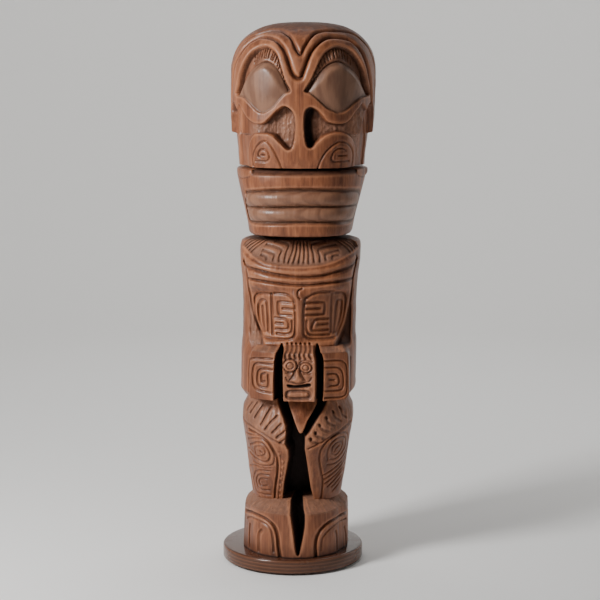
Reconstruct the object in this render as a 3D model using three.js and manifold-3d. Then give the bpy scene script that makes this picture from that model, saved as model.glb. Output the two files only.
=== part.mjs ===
// A tall carved wooden tiki figure on a round plywood base. One log is sawn and chiselled into a
// head, jaw, torso, hands, legs and feet. Four wood screws come up through the base into the feet,
// and four felt pads lie under it. Millimetres, +Z up, the face looks along -Y, and the origin is
// on the floor under the middle of the whole figure's bounding box.
import * as THREE from "three";
import { mergeVertices } from "three/addons/utils/BufferGeometryUtils.js";
import Module from "manifold-3d";

const wasm = await Module();
wasm.setup();

// ---- Driving dimensions ------------------------------------------------------------------------
const PAD_THICKNESS = 3;
const PAD_DIAMETER = 25;
const PAD_EDGE_MARGIN = 8; // from a pad's rim to the base's rim
const BASE_DIAMETER = 200;
const BASE_THICKNESS = 19;
const BASE_ROUNDING = 4; // radius of the routed top edge
const BASE_EASE = 1.2; // radius of the sanded bottom edge
const SEAT_GAP = 0.3; // between pieces that rest on each other

const FOOT_HEIGHT = 76;
const LEG_HEIGHT = 147;
const HAND_HEIGHT = 75;
const CHEST_HEIGHT = 110;
const SHOULDER_RISE = 26; // from the front of the shoulder line up to the neck
const NECK_HEIGHT = 16;
const JAW_HEIGHT = 90;
const MOUTH_KERF = 4; // width of the saw cut between the lips
const FACE_HEIGHT = 116; // from the upper lip to the widest turn of the brow
const CROWN_RISE = 78; // from there to the top of the dome

const HEAD_RADIUS = 100;
const CHEEK_RADIUS = 87; // half the width of the face below the ears
const JAW_RADIUS = 89;
const CHIN_RADIUS = 64;
const NECK_RADIUS = 47;
const SHOULDER_RADIUS = 84;
const CHEST_RADIUS = 79;
const ELBOW_RADIUS = 81;
const WAIST_RADIUS = 71;
const THIGH_RADIUS = 79;
const SHIN_RADIUS = 65;
const FOOT_RADIUS = 74;

const MOUTH_DEPTH = 46; // how far the saw goes in behind the lips
const LEG_SLOT_WIDTH = 26;
const LEG_SLOT_DEPTH = 46;
const FOOT_SLOT_WIDTH = 11;
const HIP_DEPTH = 14; // chisel cuts beside the loin cloth
const HAND_GAP_WIDTH = 13;
const HAND_GAP_DEPTH = 34;
const BELLY_HEAD_WIDTH = 46;
const HAND_STAND_OUT = 13; // how far the hands stand in front of the belly
const SOCKET_DEPTH = 17; // eye sockets
const EYE_DEPTH = 7; // the swell of the eye under the brow
const CHEEK_DEPTH = 12; // rough hollows beside the nose
const BAND_DEPTH = 8; // the grooves that part the brow bands
const PAD_FIELD_DEPTH = 8; // the sunk field on the jaw
const LIP_PAD_DEPTH = 2; // the lips inside it
const ARM_GAP_DEPTH = 10; // wedges between the arms and the chest

// The log leans a little to the right, so the base lies left of the middle of the whole.
const BASE_AT = -6.5; // centre of the base, along X
const LEAN_AT_FEET = -2.5; // centre line of the log, along X
const LEAN_AT_CROWN = 7.5;
const LOG_SIDES = 52; // facets round the log

const SCREW_LENGTH = 50;
const SCREW_SHANK_DIAMETER = 4.5;
const SCREW_HEAD_DIAMETER = 9;
const SCREW_HEAD_HEIGHT = 3.2;
const SCREW_SEAT = 0.8; // how far the head is sunk below the base's underside
const SCREW_THREAD_PITCH = 2.8;
const SCREW_THREAD_DEPTH = 0.55;
const SCREW_ACROSS = 72; // between the two rows of screws, left to right
const SCREW_FORE_AFT = 56; // between the two rows, front to back
const CROSS_SLOT = 1.4; // width of the cross recess
const HOLE_CLEARANCE = 0.3; // round the screws, radial

// ---- Levels, from the floor up -----------------------------------------------------------------
const BASE_BOTTOM = PAD_THICKNESS + SEAT_GAP;
const BASE_TOP = BASE_BOTTOM + BASE_THICKNESS;
const SOLE = BASE_TOP + SEAT_GAP;
const ANKLE = SOLE + FOOT_HEIGHT;
const WAIST = ANKLE + LEG_HEIGHT;
const HAND_TOP = WAIST + HAND_HEIGHT;
const SHOULDER = HAND_TOP + CHEST_HEIGHT;
const NECK = SHOULDER + SHOULDER_RISE;
const CHIN = NECK + NECK_HEIGHT;
const JAW_TOP = CHIN + JAW_HEIGHT;
const LIP = JAW_TOP + MOUTH_KERF;
const BROW = LIP + FACE_HEIGHT;
const CROWN = BROW + CROWN_RISE;

const WALNUT = { color: 0x8a5a40, roughness: 0.5 };
const BASE_BROWN = { color: 0x7c5443, roughness: 0.4 };
const ZINC = { color: 0xb9b7ae, roughness: 0.35, metalness: 0.9 };
const FELT = { color: 0x2f2a26, roughness: 0.95 };

const figure = new THREE.Group();

function addMesh(name, geometry, finish) {
  const mesh = new THREE.Mesh(geometry, new THREE.MeshStandardMaterial(finish));
  mesh.name = name;
  figure.add(mesh);
  return mesh;
}

// ---- From three.js geometry to solids and back -------------------------------------------------
function toSolid(geometry) {
  const bare = geometry.clone();
  bare.deleteAttribute("normal");
  bare.deleteAttribute("uv");
  const merged = mergeVertices(bare, 1e-4);
  return new wasm.Manifold(
    new wasm.Mesh({
      numProp: 3,
      vertProperties: merged.attributes.position.array,
      triVerts: new Uint32Array(merged.index.array),
    }),
  );
}

function toGeometry(solid) {
  const mesh = solid.getMesh();
  const geometry = new THREE.BufferGeometry();
  geometry.setAttribute("position", new THREE.BufferAttribute(mesh.vertProperties, 3));
  geometry.setIndex(new THREE.BufferAttribute(mesh.triVerts, 1));
  geometry.computeVertexNormals();
  return geometry;
}

function box(left, right, front, back, low, high) {
  const geometry = new THREE.BoxGeometry(right - left, back - front, high - low);
  geometry.translate((left + right) / 2, (front + back) / 2, (low + high) / 2);
  return toSolid(geometry);
}

// ---- The log: rings of a rounded-square section, one above the other ---------------------------
function leanAt(z) {
  return LEAN_AT_FEET + ((LEAN_AT_CROWN - LEAN_AT_FEET) * (z - SOLE)) / (CROWN - SOLE);
}

// Distance from the log's centre line to its skin. The angle is 0 at the front.
function skin(ring, angle, inset) {
  const depth = Math.cos(angle) > 0 ? ring.front : ring.back;
  const across = Math.abs(Math.sin(angle)) / Math.max(ring.side - inset, 1);
  const along = Math.abs(Math.cos(angle)) / Math.max(depth - inset, 1);
  return (across ** ring.square + along ** ring.square) ** (-1 / ring.square);
}

function ring(z, side, front = side, back = side, square = 2.2) {
  return { z, side, front, back, square };
}

function logSolid(rings, inset = 0) {
  const profile = [
    new THREE.Vector2(0, rings[0].z),
    ...rings.map((r) => new THREE.Vector2(1, r.z)),
    new THREE.Vector2(0, rings.at(-1).z),
  ];
  const geometry = new THREE.LatheGeometry(profile, LOG_SIDES);
  geometry.rotateX(Math.PI / 2);
  const position = geometry.attributes.position;
  for (let i = 0; i < position.count; i++) {
    const level = (i % profile.length) - 1;
    const z = position.getZ(i);
    if (level < 0 || level >= rings.length) {
      position.setXY(i, leanAt(z), 0);
      continue;
    }
    const angle = Math.atan2(position.getX(i), -position.getY(i));
    const reach = skin(rings[level], angle, inset);
    position.setXY(i, leanAt(z) + reach * Math.sin(angle), -reach * Math.cos(angle));
  }
  return toSolid(geometry);
}

// The dome of the head is a quarter turn of an ellipse over the brow.
function domeRings() {
  const rings = [];
  for (const degrees of [20, 38, 54, 68, 80, 87]) {
    const turn = THREE.MathUtils.degToRad(degrees);
    rings.push(ring(BROW + CROWN_RISE * Math.sin(turn), HEAD_RADIUS * Math.cos(turn) ** 0.72));
  }
  return rings;
}

const EAR_FOOT = LIP + 0.36 * FACE_HEIGHT;
const EAR_STEP = 6; // height of the bevel where the ears end
const KNEE = ANKLE + 0.52 * LEG_HEIGHT;
const SOLE_TO_GROOVE = SOLE + 0.62 * FOOT_HEIGHT;

const logRings = [
  ring(SOLE, FOOT_RADIUS, FOOT_RADIUS + 16, FOOT_RADIUS, 2.6),
  ring(SOLE_TO_GROOVE, FOOT_RADIUS, FOOT_RADIUS + 12, FOOT_RADIUS, 2.6),
  ring(ANKLE - 10, FOOT_RADIUS - 4, FOOT_RADIUS + 6, FOOT_RADIUS - 4, 2.6),
  ring(ANKLE, SHIN_RADIUS - 2, SHIN_RADIUS, SHIN_RADIUS, 2.4),
  ring(ANKLE + 12, SHIN_RADIUS, SHIN_RADIUS + 4, SHIN_RADIUS, 2.4),
  ring(KNEE, THIGH_RADIUS - 5, THIGH_RADIUS + 7, THIGH_RADIUS - 4, 2.4),
  ring(WAIST - 30, THIGH_RADIUS, THIGH_RADIUS - 2, THIGH_RADIUS, 2.4),
  ring(WAIST - 10, WAIST_RADIUS, WAIST_RADIUS - 10, WAIST_RADIUS, 2.4),
  ring(WAIST, WAIST_RADIUS + 2, WAIST_RADIUS - 8, WAIST_RADIUS + 2, 2.4),
  ring(WAIST + 10, ELBOW_RADIUS, ELBOW_RADIUS - 2, ELBOW_RADIUS, 2.5),
  ring(HAND_TOP - 12, ELBOW_RADIUS, ELBOW_RADIUS - 2, ELBOW_RADIUS, 2.5),
  ring(HAND_TOP + 20, CHEST_RADIUS, CHEST_RADIUS - 1, CHEST_RADIUS, 2.5),
  ring(SHOULDER, SHOULDER_RADIUS, CHEST_RADIUS - 2, SHOULDER_RADIUS - 2, 2.5),
  ring(SHOULDER + 14, SHOULDER_RADIUS, 66, SHOULDER_RADIUS - 4, 2.5),
  ring(NECK + 2, SHOULDER_RADIUS - 22, 46, SHOULDER_RADIUS - 24, 2.3),
  ring(NECK + 3, NECK_RADIUS, NECK_RADIUS - 4, NECK_RADIUS, 2.2),
  ring(CHIN, NECK_RADIUS, NECK_RADIUS - 4, NECK_RADIUS, 2.2),
  ring(CHIN + 0.5, CHIN_RADIUS, CHIN_RADIUS + 16, CHIN_RADIUS, 3),
  ring(CHIN + 8, CHIN_RADIUS + 6, CHIN_RADIUS + 18, CHIN_RADIUS + 6, 2.8),
  ring(JAW_TOP - 9, JAW_RADIUS, JAW_RADIUS + 6, JAW_RADIUS, 2.6),
  ring(JAW_TOP, JAW_RADIUS, JAW_RADIUS - 3, JAW_RADIUS, 2.4),
  ring(LIP, CHEEK_RADIUS, CHEEK_RADIUS + 9, JAW_RADIUS, 2.3),
  ring(EAR_FOOT - EAR_STEP, CHEEK_RADIUS + 3, CHEEK_RADIUS + 9, JAW_RADIUS + 3, 2.2),
  ring(EAR_FOOT, HEAD_RADIUS - 1, HEAD_RADIUS - 3, HEAD_RADIUS - 2, 2.1),
  ring(BROW, HEAD_RADIUS, HEAD_RADIUS - 2, HEAD_RADIUS, 2.1),
  ...domeRings(),
];

// ---- Chisel work: an outline seen from the front, cut to an even depth below the skin ----------
// Points are shares of a field: across from -1 to 1 of its half width, up from 0 to 1 of its height.
function prism(field, points, side = 1) {
  const corners = points.map(
    ([across, up]) =>
      new THREE.Vector2(
        leanAt(field.low) + side * across * field.half,
        field.low + up * (field.high - field.low),
      ),
  );
  const geometry = new THREE.ExtrudeGeometry(new THREE.Shape(corners), {
    depth: 2 * HEAD_RADIUS,
    bevelEnabled: false,
  });
  geometry.rotateX(Math.PI / 2);
  return toSolid(geometry);
}

// A smooth closed or open line through a few points, as points along it.
function smooth(points, steps = 24) {
  const curve = new THREE.CatmullRomCurve3(
    points.map(([across, up]) => new THREE.Vector3(across, up, 0)),
    true,
  );
  return curve.getPoints(steps).slice(0, -1).map((p) => [p.x, p.y]);
}

// Everything between a line of equal width on both sides of a few points.
function stroke(points, width, steps = 14) {
  const line = new THREE.CatmullRomCurve3(points.map(([a, u]) => new THREE.Vector3(a, u, 0)));
  const along = line.getPoints(steps);
  const edge = (half) =>
    along.map((p, i) => {
      const next = along[Math.min(i + 1, steps)];
      const last = along[Math.max(i - 1, 0)];
      const way = next.clone().sub(last).normalize();
      return [p.x - way.y * half, p.y + way.x * half];
    });
  return [...edge(width / 2), ...edge(-width / 2).reverse()];
}

function sink(body, shape, depth) {
  return body.subtract(shape.subtract(logSolid(logRings, depth)));
}

function raise(body, shape, depth) {
  return body.add(shape.intersect(logSolid(logRings, depth)));
}

const SIDES = [-1, 1];
const faceField = { low: LIP, high: CROWN, half: HEAD_RADIUS };
const jawField = { low: CHIN, high: JAW_TOP, half: JAW_RADIUS };
const chestField = { low: HAND_TOP, high: SHOULDER, half: CHEST_RADIUS };
const legField = { low: ANKLE, high: WAIST, half: THIGH_RADIUS };
const footField = { low: SOLE, high: ANKLE, half: FOOT_RADIUS };

// Eye sockets, with the leaf-shaped eye left standing in each.
const socketOutline = smooth([
  [0.14, 0.53], [0.27, 0.68], [0.42, 0.82], [0.58, 0.8], [0.72, 0.68], [0.8, 0.5],
  [0.66, 0.42], [0.5, 0.36], [0.32, 0.45],
]);
const eyeOutline = smooth([
  [0.2, 0.52], [0.36, 0.62], [0.55, 0.66], [0.68, 0.58], [0.77, 0.5], [0.64, 0.43], [0.5, 0.38],
  [0.34, 0.46],
], 18);
const cheekOutline = smooth([
  [0.12, 0.4], [0.22, 0.45], [0.36, 0.32], [0.62, 0.28], [0.4, 0.24], [0.18, 0.1], [0.11, 0.22],
], 18);
const browGroove = stroke([
  [0, 0.6], [0.1, 0.64], [0.26, 0.88], [0.5, 0.93], [0.74, 0.82], [0.88, 0.56],
], 0.045);

function carveFace(body) {
  for (const side of SIDES) {
    body = sink(body, prism(faceField, socketOutline, side), SOCKET_DEPTH);
    body = raise(body, prism(faceField, eyeOutline, side), EYE_DEPTH);
    body = sink(body, prism(faceField, cheekOutline, side), CHEEK_DEPTH);
    body = sink(body, prism(faceField, browGroove, side), BAND_DEPTH);
  }
  return body;
}

// The mouth is a straight saw cut. Below it a sunk field on the jaw holds the lips.
const jawOutline = [[-0.78, 0.68], [0.78, 0.68], [0.66, 0.26], [-0.66, 0.26]];
const upperLip = [[-0.74, 0.65], [0.74, 0.65], [0.72, 0.5], [-0.72, 0.5]];
const lowerLip = [[-0.71, 0.47], [0.71, 0.47], [0.64, 0.29], [-0.64, 0.29]];

function carveJaw(body) {
  const centre = leanAt(JAW_TOP);
  const wide = 2 * JAW_RADIUS;
  const kerf = box(centre - wide, centre + wide, -wide, -JAW_RADIUS + MOUTH_DEPTH, JAW_TOP, LIP);
  body = body.subtract(kerf);
  body = sink(body, prism(jawField, jawOutline), PAD_FIELD_DEPTH);
  body = raise(body, prism(jawField, upperLip), LIP_PAD_DEPTH);
  return raise(body, prism(jawField, lowerLip), LIP_PAD_DEPTH);
}

// A wedge on each side parts the arm from the chest. Two saw cuts run across under the shoulders.
const armWedge = [[0.62, 0], [0.78, 0.78], [0.83, 0.78], [0.86, 0]];
const acrossChest = (up) => [
  [-0.84, up - 0.07], [0, up - 0.12], [0.84, up - 0.07], [0.84, up], [0, up - 0.07], [-0.84, up],
];

function carveChest(body) {
  for (const side of SIDES) body = sink(body, prism(chestField, armWedge, side), ARM_GAP_DEPTH);
  body = sink(body, prism(chestField, acrossChest(1)), BAND_DEPTH / 2);
  return sink(body, prism(chestField, acrossChest(0.84)), BAND_DEPTH / 2);
}

// Two hand blocks and a small head between them, parted by deep straight cuts.
function carveHands(body) {
  const centre = leanAt(WAIST);
  const front = -ELBOW_RADIUS - HAND_STAND_OUT;
  const outer = 0.86 * ELBOW_RADIUS;
  body = body.add(box(centre - outer, centre + outer, front, 0, WAIST + 3, HAND_TOP));
  for (const side of SIDES) {
    const middle = centre + side * (BELLY_HEAD_WIDTH + HAND_GAP_WIDTH) / 2;
    const [left, right] = [middle - HAND_GAP_WIDTH / 2, middle + HAND_GAP_WIDTH / 2];
    body = body.subtract(box(left, right, 2 * front, front + HAND_GAP_DEPTH, WAIST - 12, HAND_TOP - 4));
  }
  return body;
}

// A slot parts the legs and a narrower one the feet. Chisel cuts free the loin cloth, and a bent
// groove on each foot marks the toes.
const hipCut = [[0.03, 0.7], [0.24, 1.02], [0.34, 1.02], [0.26, 0.84], [0.1, 0.62]];
const footArch = stroke([[0.44, 0], [0.45, 0.32], [0.56, 0.52], [0.76, 0.64], [0.98, 0.7]], 0.06);

function carveLegs(body) {
  const centre = leanAt(ANKLE);
  for (const side of SIDES) {
    body = sink(body, prism(legField, hipCut, side), HIP_DEPTH);
    body = sink(body, prism(footField, footArch, side), BAND_DEPTH / 2);
  }
  const half = FOOT_SLOT_WIDTH / 2;
  const front = -FOOT_RADIUS - 16;
  const slotTop = ANKLE + 20;
  const slotBack = front + LEG_SLOT_DEPTH;
  body = body.subtract(box(centre - half, centre + half, 2 * front, slotBack, SOLE + 6, slotTop));
  const wide = LEG_SLOT_WIDTH / 2;
  const shinFront = -SHIN_RADIUS - 4;
  return body.subtract(
    box(centre - wide, centre + wide, 2 * shinFront, shinFront + LEG_SLOT_DEPTH, ANKLE + 6, KNEE + 22),
  );
}

// ---- Screws and pads ---------------------------------------------------------------------------
function screwPlaces() {
  const centre = leanAt(SOLE);
  const places = [];
  for (const side of SIDES)
    for (const end of SIDES) places.push([centre + (side * SCREW_ACROSS) / 2, (end * SCREW_FORE_AFT) / 2]);
  return places;
}

// A countersunk wood screw, standing head down. With a margin it is the hole for that screw.
function screwProfile(margin) {
  const head = SCREW_HEAD_DIAMETER / 2 + margin;
  const shank = SCREW_SHANK_DIAMETER / 2 + margin;
  const low = margin ? -SCREW_SEAT - 1 : 0;
  const tip = SCREW_LENGTH + margin;
  const pieces = [[0, low], [head, low], [head, 0.4], [shank, SCREW_HEAD_HEIGHT + margin]];
  if (!margin) {
    const threadFrom = SCREW_LENGTH * 0.4;
    const turns = Math.floor((SCREW_LENGTH - 8 - threadFrom) / SCREW_THREAD_PITCH);
    for (let i = 0; i < turns; i++) {
      const z = threadFrom + i * SCREW_THREAD_PITCH;
      pieces.push([shank - SCREW_THREAD_DEPTH, z + 0.4], [shank, z + SCREW_THREAD_PITCH / 2]);
    }
  }
  pieces.push([shank - (margin ? 0 : SCREW_THREAD_DEPTH), tip - 7], [0, tip]);
  return pieces.map(([r, z]) => new THREE.Vector2(r, z));
}

function screwSolid(margin) {
  const geometry = new THREE.LatheGeometry(screwProfile(margin), 12);
  geometry.rotateX(Math.PI / 2);
  return toSolid(geometry);
}

function crossRecess() {
  const long = SCREW_HEAD_DIAMETER * 0.3;
  const half = CROSS_SLOT / 2;
  const depth = SCREW_HEAD_HEIGHT * 0.6;
  return box(-long, long, -half, half, -1, depth).add(box(-half, half, -long, long, -1, depth));
}

const SCREW_FOOT = BASE_BOTTOM + SCREW_SEAT;

function withoutScrews(body) {
  for (const [x, y] of screwPlaces())
    body = body.subtract(screwSolid(HOLE_CLEARANCE).translate([x, y, SCREW_FOOT]));
  return body;
}

// ---- Putting it together -----------------------------------------------------------------------
const cuts = [carveFace, carveJaw, carveChest, carveHands, carveLegs, withoutScrews];
let log = logSolid(logRings);
for (const cut of cuts) log = cut(log);
addMesh("carved_figure", toGeometry(log), WALNUT);

function edgeArc(radius, rounding, z, from, to) {
  const arc = new THREE.EllipseCurve(radius - rounding, z, rounding, rounding, from, to);
  return arc.getPoints(4);
}

const baseProfile = [
  new THREE.Vector2(0, 0),
  ...edgeArc(BASE_DIAMETER / 2, BASE_EASE, BASE_EASE, -Math.PI / 2, 0),
  ...edgeArc(BASE_DIAMETER / 2, BASE_ROUNDING, BASE_THICKNESS - BASE_ROUNDING, 0, Math.PI / 2),
  new THREE.Vector2(0, BASE_THICKNESS),
];
const baseGeometry = new THREE.LatheGeometry(baseProfile, 72);
baseGeometry.rotateX(Math.PI / 2);
baseGeometry.translate(BASE_AT, 0, BASE_BOTTOM);
addMesh("base_disc", toGeometry(withoutScrews(toSolid(baseGeometry))), BASE_BROWN);

screwPlaces().forEach(([x, y], i) => {
  const screw = addMesh(`base_screw_${i + 1}`, toGeometry(screwSolid(0).subtract(crossRecess())), ZINC);
  screw.position.set(x, y, SCREW_FOOT);
});

const padRing = BASE_DIAMETER / 2 - PAD_EDGE_MARGIN - PAD_DIAMETER / 2;
for (let i = 0; i < 4; i++) {
  const turn = (i + 0.5) * (Math.PI / 2);
  const geometry = new THREE.CylinderGeometry(PAD_DIAMETER / 2, PAD_DIAMETER / 2, PAD_THICKNESS, 32);
  geometry.rotateX(Math.PI / 2);
  const pad = addMesh(`felt_pad_${i + 1}`, geometry, FELT);
  pad.position.set(BASE_AT + padRing * Math.cos(turn), padRing * Math.sin(turn), PAD_THICKNESS / 2);
}

export default figure;
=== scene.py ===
import math

import bpy
import numpy as np
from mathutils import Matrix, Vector


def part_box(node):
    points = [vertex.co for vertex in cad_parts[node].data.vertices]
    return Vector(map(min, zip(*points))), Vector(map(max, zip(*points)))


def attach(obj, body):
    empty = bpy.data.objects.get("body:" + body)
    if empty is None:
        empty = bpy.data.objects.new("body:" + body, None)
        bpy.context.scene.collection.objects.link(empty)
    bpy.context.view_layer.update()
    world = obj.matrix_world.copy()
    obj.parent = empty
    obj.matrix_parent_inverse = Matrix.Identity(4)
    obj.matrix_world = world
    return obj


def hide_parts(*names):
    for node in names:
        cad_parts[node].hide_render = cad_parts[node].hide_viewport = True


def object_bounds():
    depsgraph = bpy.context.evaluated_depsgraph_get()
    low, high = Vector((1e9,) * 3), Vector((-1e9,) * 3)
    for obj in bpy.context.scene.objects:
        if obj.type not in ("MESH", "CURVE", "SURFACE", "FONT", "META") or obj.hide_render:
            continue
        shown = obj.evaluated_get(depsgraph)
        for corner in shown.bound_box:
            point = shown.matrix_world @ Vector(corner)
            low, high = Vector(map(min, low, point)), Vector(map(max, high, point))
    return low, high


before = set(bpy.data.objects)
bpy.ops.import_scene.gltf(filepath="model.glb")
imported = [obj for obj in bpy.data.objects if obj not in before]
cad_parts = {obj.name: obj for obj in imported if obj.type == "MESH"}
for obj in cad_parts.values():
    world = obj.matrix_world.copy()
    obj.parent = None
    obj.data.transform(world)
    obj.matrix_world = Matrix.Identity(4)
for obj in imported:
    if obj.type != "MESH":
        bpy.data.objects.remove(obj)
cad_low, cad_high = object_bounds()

# ---- Studio ----
# A pale round floor swept up into a wall, a soft light above on the left, a weak one behind on
# the right, and one that only lights the wall. The camera looks down on the figure a little.
figure_height = cad_high.z - cad_low.z
camera_distance = 3.1 * figure_height
camera_height = 0.95 * figure_height
camera_aside = 0.004
camera_turn = math.radians(4.0)
camera_pitch = math.radians(8.44)

camera_data = bpy.data.cameras.new("camera")
camera_data.lens = 101.3
camera_data.sensor_width = 36
camera = bpy.data.objects.new("camera", camera_data)
bpy.context.scene.collection.objects.link(camera)
camera.location = (
    camera_aside + camera_distance * math.sin(camera_turn),
    -camera_distance * math.cos(camera_turn),
    camera_height,
)
looking = Vector((
    -math.sin(camera_turn) * math.cos(camera_pitch),
    math.cos(camera_turn) * math.cos(camera_pitch),
    -math.sin(camera_pitch),
))
camera.rotation_euler = looking.to_track_quat("-Z", "Y").to_euler()
bpy.context.scene.camera = camera


def soft_light(name, place, target, size, watts):
    lamp = bpy.data.lights.new(name, "AREA")
    lamp.shape = "RECTANGLE"
    lamp.size, lamp.size_y = size
    lamp.energy = watts
    lit = bpy.data.objects.new(name, lamp)
    bpy.context.scene.collection.objects.link(lit)
    lit.location = place
    lit.rotation_euler = (Vector(target) - Vector(place)).to_track_quat("-Z", "Y").to_euler()


soft_light("key", (-1.02, -0.90, 1.06), (0, 0, 0.44), (0.34, 0.5), 36)
soft_light("rim", (1.3, 0.7, 0.9), (0, 0, 0.45), (0.3, 1.2), 2.5)
soft_light("sweep", (0, 0.9, 2.3), (0, 2.8, 0.3), (2.4, 0.5), 40)

world = bpy.data.worlds.new("studio")
world.use_nodes = True
sky = world.node_tree.nodes["Background"]
sky.inputs["Color"].default_value = (0.80, 0.82, 0.86, 1)
sky.inputs["Strength"].default_value = 0.08
bpy.context.scene.world = world


def choose_faces(thing, way):
    """Leaves the thing in edit mode with only its top (1) or its underside (-1) chosen."""
    bpy.ops.object.mode_set(mode="EDIT")
    bpy.ops.mesh.select_all(action="DESELECT")
    bpy.ops.object.mode_set(mode="OBJECT")
    for face in thing.data.polygons:
        face.select = face.normal.z * way > 0.9
    bpy.ops.object.mode_set(mode="EDIT")


wall_height = 2.8
bpy.ops.object.select_all(action="DESELECT")
bpy.ops.mesh.primitive_cylinder_add(
    vertices=96, radius=3.2, depth=wall_height, location=(0, 0, wall_height / 2), end_fill_type="NGON",
)
floor = bpy.context.object
floor.name = "studio_floor"
choose_faces(floor, 1)
bpy.ops.mesh.delete(type="ONLY_FACE")
choose_faces(floor, -1)
bpy.ops.mesh.bevel(offset=1.2, segments=16, affect="EDGES")
bpy.ops.object.mode_set(mode="OBJECT")
bpy.ops.object.shade_smooth()
floor_paint = bpy.data.materials.new("floor_paint")
floor_paint.use_nodes = True
paint = floor_paint.node_tree.nodes["Principled BSDF"]
paint.inputs["Base Color"].default_value = (0.80, 0.79, 0.77, 1)
paint.inputs["Roughness"].default_value = 0.85
floor.data.materials.append(floor_paint)


# ---- Plywood base ----
# A round of birch-faced plywood cut out with a jigsaw, its top edge rounded over with a router,
# stained dark brown and varnished until it shines. The plies show as thin lines round the edge.
def link_up(tree, source, target):
    tree.links.new(source, target)


def add_node(tree, kind, **inputs):
    node = tree.nodes.new(kind)
    for name, value in inputs.items():
        node.inputs[name.replace("_", " ")].default_value = value
    return node


def ramp(tree, source, stops):
    node = tree.nodes.new("ShaderNodeValToRGB")
    node.color_ramp.elements[0].position, node.color_ramp.elements[1].position = 0, 1
    while len(node.color_ramp.elements) < len(stops):
        node.color_ramp.elements.new(0.5)
    for element, (at, colour) in zip(node.color_ramp.elements, stops):
        element.position = at
        element.color = (*colour, 1) if isinstance(colour, tuple) else (colour, colour, colour, 1)
    link_up(tree, source, node.inputs["Fac"])
    return node.outputs["Color"]


def mix(tree, share, first, second):
    node = tree.nodes.new("ShaderNodeMix")
    node.data_type = "RGBA"
    for at, value in ((0, share), (6, first), (7, second)):
        if isinstance(value, (int, float)):
            node.inputs[at].default_value = value
        elif isinstance(value, tuple):
            node.inputs[at].default_value = (*value, 1)
        else:
            link_up(tree, value, node.inputs[at])
    return node.outputs[2]


def reckon(tree, how, first, second=0.5):
    node = tree.nodes.new("ShaderNodeMath")
    node.operation = how
    for at, value in enumerate((first, second)):
        if isinstance(value, (int, float)):
            node.inputs[at].default_value = value
        else:
            link_up(tree, value, node.inputs[at])
    return node.outputs[0]


def times(tree, first, second):
    return reckon(tree, "MULTIPLY", first, second)


def plus(tree, first, second):
    return reckon(tree, "ADD", first, second)


def placed(tree, scale=(1, 1, 1), turn=(0, 0, 0), shift=(0, 0, 0)):
    spot = tree.nodes.new("ShaderNodeTexCoord")
    mapping = tree.nodes.new("ShaderNodeMapping")
    mapping.inputs["Scale"].default_value = scale
    mapping.inputs["Rotation"].default_value = turn
    mapping.inputs["Location"].default_value = shift
    link_up(tree, spot.outputs["Object"], mapping.inputs["Vector"])
    return mapping.outputs["Vector"]


def noise(tree, where, scale, detail=4.0, roughness=0.5, distortion=0.0):
    node = add_node(
        tree, "ShaderNodeTexNoise", Scale=scale, Detail=detail, Roughness=roughness,
        Distortion=distortion,
    )
    link_up(tree, where, node.inputs["Vector"])
    return node.outputs["Fac"]


def roughen(tree, shader, height, strength, distance):
    bump = add_node(tree, "ShaderNodeBump", Strength=strength, Distance=distance)
    link_up(tree, height, bump.inputs["Height"])
    link_up(tree, bump.outputs["Normal"], shader.inputs["Normal"])


def new_finish(name, roughness=0.4, coat_roughness=0.1):
    finish = bpy.data.materials.new(name)
    finish.use_nodes = True
    shader = finish.node_tree.nodes["Principled BSDF"]
    shader.inputs["Roughness"].default_value = roughness
    shader.inputs["Coat Roughness"].default_value = coat_roughness
    return finish, finish.node_tree, shader


base_low, base_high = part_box("base_disc")
base_radius = (base_high.x - base_low.x) / 2
base_middle = (base_high.x + base_low.x) / 2
base_rounding = 0.004
base_ease = 0.0012
ply_thickness = 0.0024


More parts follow.
